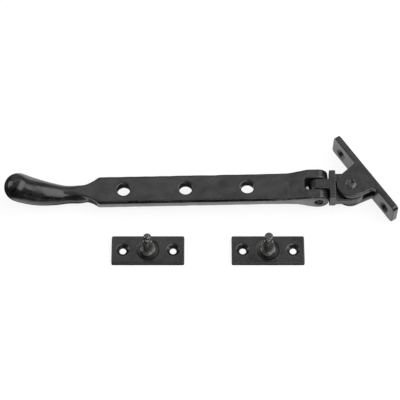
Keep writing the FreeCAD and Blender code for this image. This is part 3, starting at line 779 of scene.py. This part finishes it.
@dataclass(frozen=True)
class LightPool:
    """The floor as the paint mirrors it: a pool of light around the set, and shade.

    Lengths are in millimetres from the camera's aim. The floor is lit forward as far as
    just before the plates. It lies in shade under the bar up to the bracket, in the gap
    between bar and plates, under the plates, and beyond the handle's end. So the fronts of
    the iron pieces show pale and the edges above them stay dark.
    """

    colour_share: float = 0.45
    glow: float = 0.80
    strip_gain: float = 0.9
    dimmest: float = 0.04
    lit_from: float = 64.0
    lit_to: float = 44.0
    bar_half: float = 78.0
    bar_fade: float = 10.0
    bar_reach: float = 34.0
    shade_from: float = 8.5
    shade_to: float = 11.5
    shade_end: float = 110.0
    shade_fade: float = 6.0
    gap_ahead: float = 27.0
    gap_from: float = 6.0
    gap_to: float = 9.0
    gap_shade: float = 0.96
    pads_ahead: float = 44.3
    pads_from: float = 12.8
    pads_to: float = 14.3
    pads_dimmest: float = 0.05
    end_reach: float = 138.0
    end_before: float = 12.0
    end_after: float = 6.0

    def level(self, tree: bpy.types.NodeTree, aim: Vector) -> bpy.types.NodeSocket:
        """Return one where the pool of light lies on the floor and near zero beyond it."""
        axes = self._axes(tree)
        across, ahead = axes.outputs["X"], axes.outputs["Y"]
        wide = self._wide(tree, across, aim, 1.0)
        reach = add_node(tree, "ShaderNodeMath", {
            0: wide, 1: self.bar_reach * MM, 2: ahead}, operation="MULTIPLY_ADD")
        near = ramp(tree, reach.outputs["Value"], aim.y - self.lit_from * MM,
                    aim.y - self.lit_to * MM, self.dimmest, 1.0)
        under = self._band(tree, ahead, aim.y, self.shade_from, self.shade_to,
                           self.dimmest, 1.0)
        past = ramp(tree, across, aim.x + self.shade_end * MM,
                    aim.x + (self.shade_end + self.shade_fade) * MM, smooth=False)
        pads = self._band(tree, ahead, aim.y - self.pads_ahead * MM, self.pads_from,
                          self.pads_to, self.pads_dimmest, 1.0)
        gap = self._band(tree, ahead, aim.y - self.gap_ahead * MM, self.gap_from,
                         self.gap_to, self.gap_shade, 0.0)
        between = maths(tree, "SUBTRACT", 1.0, maths(tree, "MULTIPLY", gap, wide))
        end = aim.x - self.end_reach * MM
        lit = ramp(tree, across, end - self.end_before * MM, end + self.end_after * MM,
                   self.dimmest, 1.0)
        for part in (near, maths(tree, "MAXIMUM", under, past), pads, between):
            lit = maths(tree, "MULTIPLY", lit, part)
        return lit

    def strength(self, tree: bpy.types.NodeTree, aim: Vector) -> bpy.types.NodeSocket:
        """Return the pool's own light, which is stronger before the bar."""
        across = self._axes(tree).outputs["X"]
        return maths(tree, "ADD", self._wide(tree, across, aim, self.strip_gain), self.glow)

    def _axes(self, tree: bpy.types.NodeTree) -> bpy.types.Node:
        """Return the floor's own coordinates, taken apart."""
        return add_node(tree, "ShaderNodeSeparateXYZ", {
            "Vector": add_node(tree, "ShaderNodeTexCoord").outputs["Object"]})

    def _wide(self, tree: bpy.types.NodeTree, across: bpy.types.NodeSocket, aim: Vector,
              most: float) -> bpy.types.NodeSocket:
        """Return the given value along the bar and zero beyond its ends."""
        return self._band(tree, across, aim.x, self.bar_half, self.bar_half + self.bar_fade,
                          most, 0.0)

    def _band(self, tree: bpy.types.NodeTree, along: bpy.types.NodeSocket, middle: float,
              start: float, end: float, inner: float, outer: float) -> bpy.types.NodeSocket:
        """Return one value inside a band about the middle and another outside it."""
        away = maths(tree, "ABSOLUTE", maths(tree, "SUBTRACT", along, middle))
        return ramp(tree, away, start * MM, end * MM, inner, outer)


@dataclass
class Studio:
    """A pale floor, an even white room with soft boxes, and the camera.

    Angles are in degrees, the lens and sensor in millimetres and other lengths in metres.
    The room is dark for directions whose Y is below dark_below, and dims to the sides from
    an X of side_from on. Each box gives its place, width, height and power.
    """

    aim: Vector
    pool: LightPool = LightPool()
    elevation: float = 61.0
    distance: float = 1.2456
    lens: float = 157.5
    sensor: float = 36.0
    near_clip: float = 0.05
    floor_size: float = 6.0
    floor_colour: str = "#e8e8e8"
    floor_share: float = 0.20
    floor_glow: float = 0.87
    dark_below: float = -0.54
    bright_above: float = -0.34
    darkest: float = 0.02
    side_from: float = 0.45
    side_to: float = 0.8
    room_level: float = 0.30
    back_level: float = 0.5
    side_level: float = 0.12
    boxes: list[tuple[tuple[float, float, float], float, float, float]] = field(
        default_factory=lambda: [((0.75, -0.26, 1.35), 2.7, 1.25, 27.0),
                                 ((2.1, -0.15, 0.62), 1.3, 1.2, 11.0),
                                 ((-1.3, 0.25, 0.6), 0.8, 1.0, 5.5),
                                 ((-0.3, 0.78, 1.36), 2.0, 0.34, 1.9)])

    def build(self) -> None:
        """Set up the whole studio."""
        self._camera()
        self._floor()
        self._room()
        for number, (place, wide, tall, power) in enumerate(self.boxes):
            self._softbox(number, Vector(place), wide, tall, power)
        bpy.context.scene.view_settings.view_transform = "Standard"

    def _camera(self) -> None:
        """Aim the camera at the set from in front and above."""
        data = bpy.data.cameras.new("camera")
        data.lens = self.lens
        data.sensor_width = self.sensor
        data.clip_start = self.near_clip
        tilt = math.radians(self.elevation)
        camera = bpy.data.objects.new("camera", data)
        camera.location = self.aim + self.distance * Vector(
            (0, -math.cos(tilt), math.sin(tilt)))
        camera.rotation_euler = (math.pi / 2 - tilt, 0, 0)
        bpy.context.scene.collection.objects.link(camera)
        bpy.context.scene.camera = camera

    def _floor(self) -> None:
        """Lay the floor, which shows pale and keeps a faint shadow."""
        half = self.floor_size / 2
        mesh = bpy.data.meshes.new("floor")
        mesh.from_pydata([(-half, -half, 0), (half, -half, 0), (half, half, 0),
                          (-half, half, 0)], [], [(0, 1, 2, 3)])
        floor = bpy.data.objects.new("floor", mesh)
        bpy.context.scene.collection.objects.link(floor)
        paper = bpy.data.materials.new("seamless_paper")
        tree = blank_tree(paper)
        matt = self._matt(tree, 1.0)
        shown = self._lit(tree, self.floor_share, self.floor_glow)
        bright = self._lit(tree, self.pool.colour_share, self.pool.strength(tree, self.aim))
        mirrored = blend(tree, self.pool.level(tree, self.aim), self._matt(tree, 0.0), bright)
        lit = blend(tree, self._rays(tree, "Is Glossy Ray"), matt, mirrored)
        direct = self._rays(tree, "Is Camera Ray", "Is Transmission Ray")
        add_node(tree, "ShaderNodeOutputMaterial", {
            "Surface": blend(tree, direct, lit, shown)})
        mesh.materials.append(paper)

    def _matt(self, tree: bpy.types.NodeTree, share: float) -> bpy.types.NodeSocket:
        """Return a matt shader with a share of the floor's colour."""
        colour = tuple(part * share for part in linear(self.floor_colour)[:3]) + (1.0,)
        return add_node(tree, "ShaderNodeBsdfDiffuse", {"Color": colour}).outputs["BSDF"]

    def _lit(self, tree: bpy.types.NodeTree, share: float,
             strength: Any) -> bpy.types.NodeSocket:
        """Return a matt shader that also gives light of its own."""
        glow = add_node(tree, "ShaderNodeEmission", {"Strength": strength})
        return add_node(tree, "ShaderNodeAddShader", {
            0: self._matt(tree, share), 1: glow.outputs["Emission"]}).outputs["Shader"]

    def _rays(self, tree: bpy.types.NodeTree, *kinds: str) -> bpy.types.NodeSocket:
        """Return one for rays of any of the given kinds and zero for the rest."""
        path = add_node(tree, "ShaderNodeLightPath")
        found = path.outputs[kinds[0]]
        for kind in kinds[1:]:
            found = maths(tree, "MAXIMUM", found, path.outputs[kind])
        return found

    def _room(self) -> None:
        """Make the white room, with a dark opening low in front for reflections."""
        world = bpy.data.worlds.new("studio")
        bpy.context.scene.world = world
        tree = blank_tree(world)
        way = add_node(tree, "ShaderNodeTexCoord").outputs["Generated"]
        axes = add_node(tree, "ShaderNodeSeparateXYZ", {"Vector": way})
        wall = ramp(tree, axes.outputs["Y"], self.dark_below, self.bright_above,
                    self.darkest, 1.0)
        spread = maths(tree, "ABSOLUTE", axes.outputs["X"])
        sides = ramp(tree, spread, self.side_from, self.side_to, self.back_level,
                     self.side_level)
        mirrored = maths(tree, "MULTIPLY", wall, sides)
        level = mix(tree, Mixed.NUMBER, self._rays(tree, "Is Glossy Ray"), 1.0, mirrored)
        lit = add_node(tree, "ShaderNodeBackground", {
            "Strength": maths(tree, "MULTIPLY", wall, self.room_level)})
        shown = add_node(tree, "ShaderNodeBackground", {"Strength": level})
        seen = self._rays(tree, "Is Camera Ray", "Is Glossy Ray", "Is Transmission Ray")
        add_node(tree, "ShaderNodeOutputWorld", {"Surface": blend(
            tree, seen, lit.outputs["Background"], shown.outputs["Background"])})

    def _softbox(self, number: int, place: Vector, wide: float, tall: float,
                 power: float) -> None:
        """Hang a rectangular lamp that faces the set."""
        data = bpy.data.lights.new("softbox_%d" % number, "AREA")
        data.shape = "RECTANGLE"
        data.size = wide
        data.size_y = tall
        data.energy = power
        lamp = bpy.data.objects.new(data.name, data)
        lamp.location = place
        lamp.rotation_euler = (self.aim - place).to_track_quat("-Z", "Y").to_euler()
        bpy.context.scene.collection.objects.link(lamp)


# ---------------------------------------------------------------- the set

def main() -> None:
    """Build the studio and every sub-assembly."""
    logging.basicConfig(level=logging.INFO, format="%(name)s: %(message)s")
    pin = centre_of("hinge_pin")
    Studio(aim=Vector((pin.x - AIM_LEFT * MM, pin.y - AIM_AHEAD * MM, 0))).build()
    forge, lathe = ForgeTree(), LatheTree()
    iron = BlackIron("black_stoved_iron").material()
    turned = BlackIron("black_turned_steel", deep="#1e1d1d", dusty="#343230", index=1.8,
                       sheen=Sheen.TURNED, grain=0.9).material()
    # On the rivet the pale edge colour, at low thresholds, paints bright glints on its peened
    # points as well as rubbed wear.
    peened = BlackIron("black_peened_steel", sheen=Sheen.PEENED, rub_and_highlight="#a29c96",
                       wear_highlight_from=0.02, wear_highlight_to=0.09, index=1.7).material()
    # The hinge pin's face sits in a recess: its near-black colour is painted shade of that
    # recess, and its pale colour on proud points paints bright glints.
    shaded_pin_steel = BlackIron("recess_shade_and_glint_steel", deep="#050505", dusty="#0c0c0c", sheen=Sheen.DULL,
                      rub_and_highlight="#8d8783", wear_highlight_from=0.04, wear_highlight_to=0.12, index=1.4).material()
    parts = [
        StayArm(forge, iron, shaded_pin_steel),
        SwivelKnuckle(forge, iron),
        FixingBracket(forge, iron, peened),
        PinPlate(forge, lathe, iron, turned, Side.LEFT, tip_rise=2.4, tip_flat=0.4),
        PinPlate(forge, lathe, iron, turned, Side.RIGHT, tip_rise=0.8, tip_flat=2.1),
    ]
    for part in parts:
        for piece in part.build():
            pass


if __name__ == "__main__":
    main()
